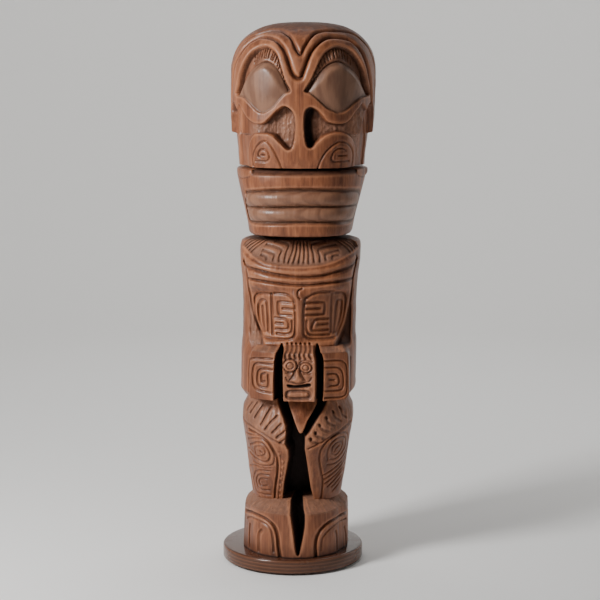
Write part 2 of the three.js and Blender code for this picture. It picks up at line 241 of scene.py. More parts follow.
def plywood_finish():
    finish, tree, shader = new_finish("varnished_plywood", coat_roughness=0.12)
    shader.inputs["Specular IOR Level"].default_value = 0.3
    grain = noise(tree, placed(tree, (14, 160, 160), turn=(0, 0, 0.5)), 1.0, 5.0, 0.6, 0.4)
    broad = noise(tree, placed(tree, (5, 22, 8), turn=(0, 0, 0.5)), 1.0, 3.0, 0.5, 1.2)
    face = mix(
        tree,
        plus(tree, times(tree, grain, 0.55), times(tree, broad, 0.5)),
        (0.018, 0.006, 0.003),
        (0.115, 0.043, 0.024),
    )
    spot = tree.nodes.new("ShaderNodeSeparateXYZ")
    link_up(tree, placed(tree), spot.inputs[0])
    wavy = times(tree, noise(tree, placed(tree, (30, 30, 30)), 1.0, 2.0), 0.0006)
    height = plus(tree, spot.outputs["Z"], wavy)
    layer = reckon(tree, "FRACT", reckon(tree, "DIVIDE", height, 2 * ply_thickness), 0)
    layers = ramp(tree, layer, [
        (0.0, (0.080, 0.030, 0.014)), (0.42, (0.130, 0.050, 0.024)), (0.5, (0.018, 0.007, 0.004)),
        (0.58, (0.040, 0.015, 0.007)), (0.93, (0.055, 0.020, 0.010)), (1.0, (0.016, 0.006, 0.003)),
    ])
    fibres = noise(tree, placed(tree, (90, 90, 900)), 1.0, 3.0, 0.6)
    edge = mix(tree, times(tree, fibres, 0.6), layers, (0.13, 0.062, 0.040))
    geometry = tree.nodes.new("ShaderNodeNewGeometry")
    facing = tree.nodes.new("ShaderNodeSeparateXYZ")
    link_up(tree, geometry.outputs["Normal"], facing.inputs[0])
    flat = ramp(tree, reckon(tree, "ABSOLUTE", facing.outputs["Z"]), [(0.80, 0), (0.96, 1)])
    link_up(tree, mix(tree, flat, edge, face), shader.inputs["Base Color"])
    link_up(tree, times(tree, flat, 0.45), shader.inputs["Coat Weight"])
    rough = noise(tree, placed(tree, (26, 26, 26)), 1.0, 5.0, 0.65)
    link_up(tree, ramp(tree, rough, [(0.3, 0.14), (0.75, 0.34)]), shader.inputs["Roughness"])
    roughen(tree, shader, plus(tree, grain, times(tree, layer, 0.6)), 0.25, 0.0004)
    return finish


bpy.ops.object.select_all(action="DESELECT")
bpy.ops.mesh.primitive_cylinder_add(
    vertices=128, radius=base_radius, depth=base_high.z - base_low.z,
    location=(base_middle, 0, (base_high.z + base_low.z) / 2), end_fill_type="NGON",
)
base = bpy.context.object
base.name = "plywood_base"
choose_faces(base, 1)
bpy.ops.mesh.bevel(offset=base_rounding, segments=5, affect="EDGES")
choose_faces(base, -1)
bpy.ops.mesh.bevel(offset=base_ease, segments=2, affect="EDGES")
bpy.ops.object.mode_set(mode="OBJECT")
bpy.ops.object.transform_apply(location=True, rotation=True, scale=True)
bpy.ops.object.shade_smooth_by_angle(angle=math.radians(35))
base.data.materials.append(plywood_finish())
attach(base, "root")
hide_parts("base_disc")


# ---- Screws and felt pads ----
# Zinc-plated wood screws come up through the base into the feet. Four pads of pressed felt with
# glue on their backs keep the base off the table. Neither shows when the figure stands.
def zinc_finish():
    finish, tree, shader = new_finish("zinc_plating")
    shader.inputs["Metallic"].default_value = 1.0
    cloudy = noise(tree, placed(tree, (600, 600, 600)), 1.0, 4.0, 0.6)
    link_up(
        tree, ramp(tree, cloudy, [(0.3, (0.52, 0.51, 0.46)), (0.7, (0.70, 0.69, 0.66))]),
        shader.inputs["Base Color"],
    )
    link_up(tree, ramp(tree, cloudy, [(0.3, 0.25), (0.7, 0.42)]), shader.inputs["Roughness"])
    return finish


def felt_finish():
    finish, tree, shader = new_finish("pressed_felt", roughness=0.95)
    shader.inputs["Sheen Weight"].default_value = 0.4
    tangle = noise(tree, placed(tree), 1500, 6.0, 0.75, 1.5)
    link_up(
        tree, ramp(tree, tangle, [(0.3, (0.018, 0.015, 0.013)), (0.7, (0.060, 0.050, 0.044))]),
        shader.inputs["Base Color"],
    )
    roughen(tree, shader, tangle, 0.8, 0.0003)
    return finish


zinc, felt = zinc_finish(), felt_finish()
for node_name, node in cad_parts.items():
    if node_name.startswith("base_screw"):
        node.data.materials.clear()
        node.data.materials.append(zinc)
    if node_name.startswith("felt_pad"):
        node.data.materials.clear()
        node.data.materials.append(felt)


# ---- The log ----
# One seasoned log, a hand's length across, leaning a little to the right as it grew. Each length
# of it is laid out flat as a sheet of small squares: across is millimetres round the log from
# the front, up is millimetres from the floor. The cuts are sunk on that sheet, and then it is
# rolled back round the log.
MM = 0.001
back_square = 2.6


def lean(up):
    return -1.8 + up / 66


def between(up, stations, which):
    """A log's measure at a height, on a soft line through its stations."""
    heights = np.array([s[0] for s in stations], float)
    values = np.array([s[which] for s in stations], float)
    gaps = np.diff(heights)
    slopes = np.diff(values) / gaps
    ends = np.concatenate([slopes[:1], np.zeros(len(slopes) - 1), slopes[-1:]])
    for i in range(1, len(slopes)):
        if slopes[i - 1] * slopes[i] > 0:
            ends[i] = 2 * slopes[i - 1] * slopes[i] / (slopes[i - 1] + slopes[i])
    up = np.clip(up, heights[0], heights[-1])
    i = np.clip(np.searchsorted(heights, up) - 1, 0, len(gaps) - 1)
    t = (up - heights[i]) / gaps[i]
    start = values[i] * (1 + 2 * t) * (1 - t) ** 2 + gaps[i] * ends[i] * t * (1 - t) ** 2
    return start + values[i + 1] * t * t * (3 - 2 * t) - gaps[i] * ends[i + 1] * t * t * (1 - t)


def ease(x, low, high):
    t = np.clip((x - low) / (high - low), 0, 1)
    return t * t * (3 - 2 * t)


def curve(points, closed=False):
    """A soft line through a few points."""
    steps = 5
    p = np.array(points, float)
    if len(p) < 3:
        return p
    before, after = (p[-1], p[:2]) if closed else (2 * p[0] - p[1], 2 * p[-1] - p[-2])
    p = np.vstack([before, p, after])
    t = np.linspace(0, 1, steps, endpoint=False)[:, None]
    runs = []
    for a, b, c, d in zip(p, p[1:], p[2:], p[3:]):
        bend, twist = 2 * a - 5 * b + 4 * c - d, 3 * b - a - 3 * c + d
        runs.append(0.5 * (2 * b + (c - a) * t + bend * t**2 + twist * t**3))
    return np.vstack(runs + [p[-2:-1]])


class Sheet:
    """The skin of one length of the log, laid out flat."""

    def __init__(self, name, stations, girth, low, high, reach, direct, seed, fine, crown=None):
        self.name, self.stations, self.crown, self.direct = name, stations, crown, direct
        fine = self.fine = fine
        front = np.arange(-reach, reach + 1e-6, fine) / girth
        behind = max(12, int((2 * math.pi - (front[-1] - front[0])) * girth / back_square))
        rest = np.linspace(front[-1], front[0] + 2 * math.pi, behind + 1)[1:]
        middle = behind // 2
        self.turn = np.concatenate([rest[middle - 1:-1] - 2 * math.pi, front, rest[:middle]])
        self.up = np.arange(low, high + fine / 2, fine)
        self.up[-1] = high
        self.across, self.height = np.meshgrid(self.turn * girth, self.up)
        # tone below nothing paints shade and darkening, above nothing dark waxed polish; raw marks
        # bare, dusty wood.
        self.lift, self.cut, self.tone, self.raw = (np.zeros_like(self.across) for _ in range(4))
        self.girth, self.seed = girth, seed
        seam = math.pi * girth
        self.quiet = 1 - ease(np.abs(self.across), seam - 30, seam - 6)

    def window(self, path, margin):
        low, high = path.min(0) - margin, path.max(0) + margin
        rows = (self.up >= low[1]) & (self.up <= high[1])
        columns = (self.turn * self.girth >= low[0]) & (self.turn * self.girth <= high[0])
        return np.ix_(rows, columns)

    def far(self, path, margin):
        """How far each spot is from a line, and the window of the sheet it was measured in."""
        at = self.window(path, margin)
        x, y = self.across[at], self.height[at]
        best = np.full(x.shape, 1e9)
        for (ax, ay), (bx, by) in zip(path[:-1], path[1:]):
            dx, dy = bx - ax, by - ay
            t = np.clip(((x - ax) * dx + (y - ay) * dy) / (dx * dx + dy * dy + 1e-9), 0, 1)
            best = np.minimum(best, (x - ax - t * dx) ** 2 + (y - ay - t * dy) ** 2)
        return np.sqrt(best), at

    def away(self, path, margin=60):
        """How far each spot of the whole sheet is from a line, up to a limit."""
        distance, at = self.far(curve(path), margin)
        whole = np.full(self.cut.shape, float(margin))
        whole[at] = distance
        return whole

    def within(self, outline, margin=14, soft=True):
        """Distance inside an outline, less than nothing outside it."""
        path = curve(outline, closed=True) if soft else np.array(outline + outline[:1], float)
        if soft:
            path = np.vstack([path, path[:1]])
        distance, at = self.far(path, margin)
        x, y = self.across[at], self.height[at]
        inside = np.zeros(x.shape, bool)
        for (ax, ay), (bx, by) in zip(path[:-1], path[1:]):
            crosses = (ay > y) != (by > y)
            inside ^= crosses & (x < (bx - ax) * (y - ay) / (by - ay + 1e-12) + ax)
        return np.where(inside, distance, -distance), at

    def groove(self, points, width, depth, shoulder=1.35):
        """A V cut with a gouge: deep in the middle, its edges rounded over."""
        distance, at = self.far(curve(points), width * shoulder + 2)
        deep = np.clip(1 - distance / (width / 2), 0, 1)
        broad = 0.5 + 0.5 * np.cos(np.pi * np.clip(distance / (width * shoulder / 2), 0, 1))
        self.cut[at] -= depth * (0.6 * deep**0.85 + 0.4 * broad)

    def grooves(self, width, depth, *lines, shoulder=1.35):
        for line in lines:
            self.groove(line, width, depth, shoulder)

    def share(self, outline, edge, soft=True):
        """One inside an outline and nothing outside, with a slope this wide between them."""
        distance, at = self.within(outline, soft=soft)
        return ease(distance, -edge / 2, edge / 2), at

    def sink(self, outline, depth, wall=1.6, soft=True):
        share, at = self.share(outline, wall, soft)
        self.cut[at] -= depth * share

    def slot(self, outline, depth, wall=4.6, soft=False):
        """A deep slot, its walls leaning in a little, with painted shade that blacks out its insides.
        """
        distance, at = self.within(outline, soft=soft)
        self.cut[at] -= depth * np.clip((distance + 0.8) / wall, 0, 1)
        self.shade(outline, -1, soft=soft)

    def level(self, outline, depth, wall=1.6, soft=True):
        """Cuts or leaves everything inside an outline at one depth below the skin."""
        share, at = self.share(outline, wall, soft)
        self.cut[at] = self.cut[at] * (1 - share) - depth * share

    def swell(self, outline, rise, run, soft=True, root=1.0):
        """Rounds the inside of an outline up like a cushion, rise high and run from edge to top."""
        distance, at = self.within(outline, soft=soft)
        t = np.clip(distance / run, 0, 1)
        self.cut[at] += rise * (1 - (1 - t) ** 2) ** root * (distance > 0)

    def ridge(self, middle, rise, fall, run, low, high, soft=10):
        """Turns the front into two flat planes that meet at an upright ridge."""
        away = np.abs(self.across - middle)
        rows = ease(self.height, low, low + soft) * (1 - ease(self.height, high - soft, high))
        self.lift += np.interp(away, [0, 3, run, run * 1.5], [rise * 0.97, rise * 0.9, -fall, 0]) * rows

    def shade(self, outline, tone, soft=True, edge=3, field=None):
        share, at = self.share(outline, edge, soft)
        field = self.tone if field is None else field
        field[at] = field[at] * (1 - share) + tone * share

    def gouged(self, wide, tall, depth, where=None):
        """Overlapping scoops of a gouge, wide across and tall along the log."""
        columns, rows = 97, 89
        marks = np.random.default_rng(self.seed + int(wide * 10)).uniform(0, 1, (columns, rows, 2))
        x, y = self.across / wide, self.height / tall
        column, row = np.floor(x).astype(int), np.floor(y).astype(int)
        nearest = np.full(x.shape, 9.0)
        for i in (-1, 0, 1):
            for j in (-1, 0, 1):
                mark = marks[(column + i) % columns, (row + j) % rows]
                aside, above = x - column - i - mark[..., 0], y - row - j - mark[..., 1]
                nearest = np.minimum(nearest, aside**2 + above**2)
        share = self.quiet if where is None else self.quiet * where
        self.cut += depth * (np.minimum(nearest, 1.2) - 0.35) * share

    def smoothed(self, field, spread):
        """The field with each spot evened out with its neighbours."""
        size = int(3 * spread / self.fine) + 1
        weights = np.exp(-0.5 * (np.arange(-size, size + 1) * self.fine / spread) ** 2)
        weights /= weights.sum()
        for axis in (0, 1):
            pad = [(size, size) if a == axis else (0, 0) for a in (0, 1)]
            padded = np.pad(field, pad, mode="edge")
            field = np.apply_along_axis(lambda line: np.convolve(line, weights, "valid"), axis, padded)
        return field

    def roll(self, bottom_rings, top_rings):
        """Rolls the sheet round the log and closes it at its seam and both ends."""
        turn, up = np.meshgrid(self.turn, self.up)
        level, shrink = (up, 1.0) if self.crown is None else self.crown(up)
        side, front, back, square = (between(level, self.stations, k) for k in (1, 2, 3, 4))
        depth = np.where(np.cos(turn) > 0, front, back)
        reach = (np.abs(np.sin(turn)) / side) ** square + (np.abs(np.cos(turn)) / depth) ** square
        reach = reach ** (-1 / square) * shrink
        place = np.stack([lean(level) + reach * np.sin(turn), -reach * np.cos(turn), level], -1)
        sanding, deepest_shaded = 0.4, 7
        cut = self.smoothed(self.lift + self.cut, sanding)
        cut[:, 0] = cut[:, -1] = (cut[:, 0] + cut[:, -1]) / 2
        if self.direct is None:
            along = np.gradient(place, axis=1)
            upward = np.gradient(place, axis=0)
            facing = np.cross(along, upward)
            facing[-3:] = (0, 0, 1)
            facing /= np.linalg.norm(facing, axis=-1, keepdims=True) + 1e-12
        else:
            start, full = (math.radians(a) for a in self.direct)
            way = turn * ease(np.abs(turn), start, full)
            facing = np.stack([np.sin(way), -np.cos(way), 0 * way], -1)
        place = place + facing * cut[..., None]
        shallow = self.smoothed(np.clip(self.cut, -deepest_shaded, deepest_shaded), sanding)
        fine, broad = (shallow - self.smoothed(shallow, spread) for spread in (2.0, 6))
        hollow = np.clip(0.46 * fine + 0.1 * broad, -1, 1)
        fields = [hollow, self.tone, self.raw]
        for rim, rings in ((0, bottom_rings), (-1, top_rings)):
            middle = np.array([lean(place[rim, 0, 2]), 0, place[rim, 0, 2]])
            added = [middle + (place[rim] - middle) * share for share in rings]
            if added:
                order = (added, place) if rim == 0 else (place, added[::-1])
                more = (len(added), 0) if rim == 0 else (0, len(added))
                fields = [np.pad(field, (more, (0, 0)), mode="edge") for field in fields]
                place = np.concatenate(order)
        return place, fields

    def wood(self, finish):
        """Makes the length of log as an object."""
        flat_end = (0.0, 0.4, 0.75, 0.95)
        places, fields = self.roll(flat_end, () if self.crown else flat_end)
        tall, round_ = places.shape[:2]
        bpy.ops.object.select_all(action="DESELECT")
        bpy.ops.mesh.primitive_grid_add(x_subdivisions=round_ - 1, y_subdivisions=tall - 1, size=2)
        piece = bpy.context.object
        piece.name = self.name
        spots = np.zeros(len(piece.data.vertices) * 3)
        piece.data.vertices.foreach_get("co", spots)
        spots = spots.reshape(-1, 3)
        column = np.rint((spots[:, 0] + 1) / 2 * (round_ - 1)).astype(int)
        row = np.rint((spots[:, 1] + 1) / 2 * (tall - 1)).astype(int)
        piece.data.vertices.foreach_set("co", (places[row, column] * MM).ravel())
        for title, field in zip(("hollow", "tone", "raw"), fields):
            attribute = piece.data.attributes.new(title, "FLOAT", "POINT")
            attribute.data.foreach_set("value", field[row, column].astype(np.float32))
        bpy.ops.object.mode_set(mode="EDIT")
        bpy.ops.mesh.select_all(action="SELECT")
        bpy.ops.mesh.remove_doubles(threshold=1e-6)
        bpy.ops.mesh.normals_make_consistent(inside=False)
        bpy.ops.object.mode_set(mode="OBJECT")
        bpy.ops.object.shade_smooth_by_angle(angle=math.radians(48))
        piece.data.materials.append(finish)
        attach(piece, "root")
        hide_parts("carved_figure")


def stained_wood():
    """Brown stain under varnish, darker in the cuts where it pooled, with painted shade added there,
    and lighter on the ridges where it rubbed off, with painted highlight added there.
    """
    finish, tree, shader = new_finish("stained_wood", coat_roughness=0.2)
    shader.inputs["Specular IOR Level"].default_value = 0.30
    marks = {}
    for title in ("hollow", "tone", "raw"):
        node = add_node(tree, "ShaderNodeAttribute")
        node.attribute_name = title
        marks[title] = node.outputs["Fac"]
    rings = add_node(
        tree, "ShaderNodeTexWave", Scale=40, Distortion=6, Detail=4, Detail_Scale=1.1,
        Detail_Roughness=0.6,
    )
    rings.wave_type, rings.rings_direction = "RINGS", "Z"
    link_up(tree, placed(tree, (1, 1, 0.22), shift=(0.02, -0.015, 0)), rings.inputs["Vector"])
    fibres = noise(tree, placed(tree, (480, 480, 15)), 1.0, 5.0, 0.62)
    streaks = noise(tree, placed(tree, (120, 120, 6)), 1.0, 5.0, 0.6, 0.5)
    patches = noise(tree, placed(tree, (17, 17, 10)), 1.0, 5.0, 0.62, 0.6)
    scraped = noise(tree, placed(tree, (190, 190, 70)), 1.0, 6.0, 0.65)
    body = ramp(tree, plus(tree, times(tree, streaks, 0.6), times(tree, patches, 0.45)), [
        (0.34, (0.072, 0.022, 0.009)), (0.50, (0.168, 0.055, 0.024)), (0.66, (0.290, 0.105, 0.046)),
    ])
    lines = ramp(tree, rings.outputs["Fac"], [(0.30, 0), (0.95, 1)])
    body = mix(tree, times(tree, lines, 0.25), body, (0.062, 0.018, 0.007))
    pores = ramp(tree, fibres, [(0.34, 1), (0.46, 0)])
    body = mix(tree, times(tree, pores, 0.30), body, (0.040, 0.013, 0.006))
    raised = ramp(tree, fibres, [(0.54, 0), (0.72, 0.4)])
    body = mix(tree, raised, body, (0.30, 0.112, 0.046))
    dusty = mix(tree, scraped, (0.110, 0.052, 0.032), (0.34, 0.186, 0.124))
    body = mix(tree, times(tree, marks["raw"], 0.60), body, dusty)
    spread = plus(tree, marks["hollow"], times(tree, reckon(tree, "SUBTRACT", patches, 0.5), 0.35))
    # Lighter on the ridges: wear where the edges were rubbed, and painted highlight on the crests.
    wear_and_highlight = ramp(tree, plus(tree, spread, times(tree, reckon(tree, "SUBTRACT", scraped, 0.5), 0.4)), [
        (0.10, 0), (0.50, 0.60),
    ])
    body = mix(tree, wear_and_highlight, body, (0.38, 0.155, 0.075))
    waxed = mix(tree, plus(tree, times(tree, lines, 0.4), times(tree, patches, 0.6)),
                (0.240, 0.128, 0.080), (0.088, 0.042, 0.027))
    body = mix(tree, times(tree, reckon(tree, "MAXIMUM", marks["tone"], 0.0), 0.85), body, waxed)
    # Darker in the cuts: stain that pooled there, and painted shade.
    pooled_stain_and_shade = ramp(tree, times(tree, spread, -1.0), [(0.06, 0), (0.9, 0.60)])
    body = mix(tree, pooled_stain_and_shade, body, (0.034, 0.013, 0.007))
    # Where the tone is below nothing: painted shade, near black and matt, in slots, gaps and under
    # overhangs, and a darker colour on the dome top and low on the feet.
    shade_and_darkening = reckon(tree, "MAXIMUM", times(tree, marks["tone"], -1.0), 0.0)
    body = mix(tree, shade_and_darkening, body, (0.016, 0.007, 0.005))
    link_up(tree, body, shader.inputs["Base Color"])
    sheen = plus(tree, times(tree, patches, 0.26), times(tree, fibres, 0.16))
    matt = plus(tree, times(tree, pooled_stain_and_shade, 0.2), times(tree, marks["raw"], 0.22))
    matt = plus(tree, matt, times(tree, shade_and_darkening, 0.3))
    link_up(tree, plus(tree, plus(tree, sheen, matt), 0.22), shader.inputs["Roughness"])
    link_up(tree, reckon(tree, "SUBTRACT", 0.10, times(tree, shade_and_darkening, 0.10)), shader.inputs["Coat Weight"])
    fuzz = plus(tree, 0.45, times(tree, marks["raw"], 1.3))
    grain = plus(tree, times(tree, fibres, 0.8), times(tree, streaks, 0.7))
    roughen(tree, shader, times(tree, plus(tree, grain, scraped), fuzz), 0.6, 0.0009)
    return finish


log_wood = stained_wood()


# ---- Feet ----
# Two blocks sawn from the foot of the log, parted by a narrow slot and flat on top where the
# shins rise. A bent double groove on each makes the instep, and short ones below it the toes.
foot_stations = [
    (22.5, 74.5, 87, 74, 2.7), (58, 74, 88, 74, 2.7), (78, 73.5, 87.5, 73, 2.6),
    (85.5, 72.5, 87, 72.5, 2.6), (87, 71, 83.5, 71, 2.5), (95, 64, 68, 65, 2.4), (99, 61, 58, 62, 2.4),
]
sole, instep = 22.5, 84
leg_slot_depth = 46
feet = Sheet(
    "feet", foot_stations, girth=76, low=sole, high=99, reach=150, direct=(35, 75), seed=11, fine=0.9,
)
feet.ridge(middle=4, rise=4, fall=8, run=62, low=10, high=106)
foot_slot = [
    (-5, 106), (-3, 92), (-1, 80), (2, 58), (5, 34), (8, 27), (10, 36), (13, 54), (15, 74), (14, 90),
    (15, 106),
]
feet.slot(foot_slot, leg_slot_depth, soft=True)
for wide, deep, points in (
    (5.2, 5.0, [
        (-112, 80), (-96, 77), (-82, 75), (-57, 78), (-38, 77), (-26, 71), (-20, 63), (-17, 50),
        (-16, 36), (-14, 22),
    ]),
    (3.4, 2.2, [(-74, 67), (-58, 71), (-45, 71), (-33, 68), (-26, 61), (-23, 48), (-22, 30)]),
    (5.0, 2.8, [(-62, 60), (-64, 45), (-63, 26)]), (5.4, 3.2, [(-38, 58), (-42, 50), (-42, 26)]),
    (5.2, 5.0, [
        (140, 72), (128, 71), (104, 71), (72, 72), (49, 71), (37, 65), (30, 54), (28, 40), (29, 22),
    ]),
    (3.4, 2.2, [(94, 63), (70, 64), (52, 63), (42, 57), (36, 48), (35, 32)]),
    (5.0, 2.8, [(89, 52), (94, 42), (95, 26)]), (5.4, 3.2, [(56, 54), (59, 44), (60, 26)]),
):
    feet.groove(points, wide, deep)
for across in (-239, 239):
    feet.groove([(across, 105), (across, 60), (across, 22)], 9, 6)
feet.raw[:] = 0.95 * ease(feet.height, instep - 2, instep + 3)
# Painted shadow along the sole where the feet stand on the base, and the feet made darker towards the
# bottom.
shadow_at_base = 1 - ease(feet.height, sole, sole + 3)
darker_low_on_feet = 1 - ease(feet.height, 25, 50)
feet.tone -= 0.85 * shadow_at_base + 0.32 * darker_low_on_feet
feet.gouged(wide=9, tall=15, depth=0.5)
feet.gouged(wide=2.2, tall=30, depth=0.35)
feet.gouged(wide=4.2, tall=9, depth=2.2, where=feet.raw)
feet.wood(log_wood)


# ---- Legs ----
# Bent legs with the knees forward, freed from each other by a deep forked slot under the tip of
# the loin cloth. The thighs carry slanting gouge cuts, and the calves rings and ripples.
leg_stations = [
    (97, 63, 57, 62, 2.4), (112, 65.4, 61, 63, 2.4), (135, 69, 67, 66, 2.4), (159, 71.7, 75, 69, 2.4),
    (180, 74.4, 83, 72, 2.4), (190, 76, 83.5, 74, 2.4), (211, 78.6, 77, 77, 2.4),
    (223, 78, 71, 77, 2.4), (235, 73, 65, 72, 2.4), (246.5, 71, 60, 70, 2.4),
]
legs = Sheet(
    "legs", leg_stations, girth=72, low=97, high=246.5, reach=140, direct=(35, 75), seed=23, fine=0.9,
)
forked_slot = [
    (-35, 258), (-28, 242), (-22, 231), (-15, 219), (-10, 208), (-9, 196), (-10, 184), (-6, 175),
    (-6, 163), (-10, 143), (-15, 123), (-21, 90), (36, 90), (26, 115), (22, 132), (17, 155), (13, 175),
    (13, 193), (18, 199), (25, 210), (34, 222), (46, 236), (56, 258),
]
loin_cloth = [
    (-13, 262), (-13, 238), (-4, 220), (4, 200), (7, 196), (11, 198), (18, 214), (33, 235), (38, 262),
]
legs.slot(forked_slot, leg_slot_depth)
legs.level(loin_cloth, depth=3.0, wall=2.4, soft=False)
legs.shade(loin_cloth, 0, soft=False)
thigh_cuts = [
    [(-72, 232), (-77, 221)], [(-60, 234), (-66, 220)], [(-48, 233), (-55, 215)],
    [(-35, 231), (-43, 207)], [(-24, 220), (-30, 212), (-36, 202)], [(-17, 210), (-26, 198)],
    [(-11, 201), (-20, 192)], [(-8, 192), (-16, 185)],
]
legs.grooves(4.6, 3.2, *thigh_cuts, shoulder=1.2)
thigh_scallops = [
    [(66, 229), (67, 220), (75, 214)], [(53, 225), (55, 217), (63, 211)],
    [(42, 218), (44, 211), (53, 205)], [(32, 209), (35, 203), (44, 198)],
    [(26, 199), (28, 194), (36, 190)], [(20, 191), (22, 187), (28, 184)],
]
for line in thigh_scallops:
    legs.groove(line, 5.0, 2.6, shoulder=1.5)
    legs.groove([line[0], (line[0][0] + 0.5, line[0][1] - 2)], 3.8, 3.4, shoulder=1.0)
thigh_left = [(-90, 207), (-40, 194), (-8, 180), (-14, 222), (-34, 244), (-90, 244)]
thigh_right = [(98, 208), (48, 194), (14, 180), (22, 214), (44, 244), (98, 244)]
for outline in (thigh_left, thigh_right):
    legs.shade(outline, 0.7, soft=False, edge=8, field=legs.raw)
for wide, deep, points in (
    (3.4, 2.4, [(-92, 208), (-77, 205), (-57, 202), (-38, 195), (-22, 187), (-9, 181)]),
    (4.4, 3.6, [
        (-64, 197), (-48, 194), (-34, 187), (-26, 176), (-22, 160), (-24, 140), (-29, 120), (-34, 98),
    ]),
    (2.2, 1.2, [(-18, 172), (-17, 156), (-20, 134), (-27, 97)]), (3.4, 2.6, [(-45, 169), (-43, 167)]),
    (3.0, 1.8, [(-55, 162), (-54, 172), (-45, 177), (-38, 173), (-38, 166), (-46, 161), (-52, 161)]),
    (3.4, 2.4, [
        (-64, 175), (-47, 182), (-36, 179), (-31, 168), (-34, 157), (-44, 153), (-58, 157), (-71, 162),
    ]),
    (3.0, 1.8, [
        (-68, 183), (-48, 188), (-34, 185), (-26, 172), (-26, 158), (-32, 149), (-48, 147), (-64, 150),
    ]),
    (3.0, 1.6, [(-74, 190), (-60, 191), (-46, 192)]), (3.0, 1.4, [(-74, 168), (-66, 168), (-60, 166)]),
    (3.2, 2.0, [(-42, 127), (-53, 126), (-59, 121), (-55, 115), (-43, 117)]),
    (3.2, 2.0, [(-38, 133), (-55, 132), (-65, 123), (-65, 113), (-56, 109), (-41, 110)]),
    (3.2, 2.0, [(-36, 140), (-57, 138), (-70, 128), (-75, 115), (-69, 104), (-54, 102), (-40, 103)]),
    (3.0, 1.6, [(-78, 141), (-60, 145), (-46, 143), (-32, 145)]),
    (3.6, 2.2, [(-90, 192), (-88, 165), (-84, 135), (-84, 104)]),
    (3.4, 2.4, [(110, 210), (92, 207), (66, 200), (46, 193), (33, 185), (18, 177)]),
    (4.0, 2.8, [
        (96, 204), (74, 200), (52, 193), (39, 184), (33, 172), (34, 156), (39, 140), (44, 124),
        (46, 98),
    ]),
    (3.2, 2.0, [(54, 168), (56, 173), (61, 176)]),
    (3.2, 2.0, [(50, 168), (50, 177), (59, 182), (69, 178), (67, 169), (58, 163), (50, 167)]),
    (3.2, 2.2, [
        (46, 157), (43, 168), (46, 181), (58, 188), (76, 184), (80, 171), (71, 162), (59, 157),
        (50, 158),
    ]),
    (3.2, 2.2, [
        (46, 190), (58, 194), (76, 192), (89, 182), (92, 168), (79, 157), (61, 150), (47, 150),
    ]),
    (3.2, 2.2, [(92, 198), (102, 180), (101, 165), (91, 155), (64, 144), (43, 134)]),
    (3.2, 2.2, [(104, 158), (96, 150), (84, 147), (66, 138), (46, 128)]),
    (3.2, 2.2, [(98, 142), (88, 141), (68, 132), (48, 121)]),
    (3.2, 2.2, [(54, 116), (66, 124), (78, 132), (92, 136), (94, 126), (84, 118), (66, 107)]),
    (3.2, 2.0, [(62, 114), (74, 121), (84, 127)]),
):
    legs.groove(points, wide, deep)
for across, up in (
    (-18, 168), (-15, 156), (-16, 147), (-18, 138), (-20, 130), (-22, 120), (-23, 111), (-24, 103),
):
    bead = [(across + 2.2 * math.cos(a), up + 3 * math.sin(a)) for a in np.linspace(0, 5, 6)]
    legs.swell(bead, 1.4, 2.4)
for across in (-226, 226):
    legs.groove([(across, 200), (across, 150), (across, 95)], 10, 8)
seat_line = [(222, 206), (190, 196), (158, 204), (140, 222)]
for sign in (-1, 1):
    legs.groove([(sign * out, up) for out, up in seat_line], 7, 3.5)
legs.gouged(wide=10, tall=17, depth=0.5)
legs.gouged(wide=2.4, tall=26, depth=0.3)
legs.gouged(wide=4.6, tall=14, depth=2.0, where=legs.raw)
legs.wood(log_wood)


# ---- Torso, arms and hands ----
# The chest is a carved shield between two arms that hang straight down and fold forward at the
# elbows. The hands are two square blocks on either side of a small head, all proud of the belly.
torso_stations = [
    (246, 76, 84, 74, 2.6), (254, 81, 84, 78, 2.6), (300, 81, 80, 80, 2.6), (318, 80.5, 70, 80, 2.6),
    (328, 79.5, 68, 79, 2.6), (345, 79.3, 70, 79, 2.6), (372, 79.5, 75, 80, 2.5),
    (407, 81, 79, 80, 2.5), (428, 83.5, 78, 80, 2.5), (436, 84, 74, 80, 2.5), (450, 84.5, 60, 79, 2.5),
    (458, 83, 50, 75, 2.4), (462, 74, 46, 66, 2.3), (464, 52, 42, 50, 2.2), (472.5, 50, 40, 48, 2.2),
]
torso = Sheet(
    "torso", torso_stations, girth=80, low=246, high=472.5, reach=142, direct=(62, 84), seed=37,
    fine=0.95,
)
middle_line = 4
hand_turn_starts = 22


def block(sheet, outline, forward, wall, slope, top=313, turned=0.0):
    """Leaves a block standing, its front this far ahead of the middle, its top and front sloped."""
    share, at = sheet.share(outline, wall, soft=False)
    turn, up = sheet.across[at] / sheet.girth, sheet.height[at]
    side, front, square = (between(up, sheet.stations, k) for k in (1, 2, 4))
    skin = (np.abs(np.sin(turn)) / side) ** square + (np.abs(np.cos(turn)) / front) ** square
    skin = skin ** (-1 / square)
    aside = np.maximum(np.abs(skin * np.sin(turn) - middle_line) - hand_turn_starts, 0)
    wanted = forward - slope * np.maximum(up - top, 0) - turned * aside - skin * np.cos(turn)
    sheet.lift[at] = sheet.lift[at] * (1 - share) + wanted * share
    sheet.cut[at] *= 1 - share


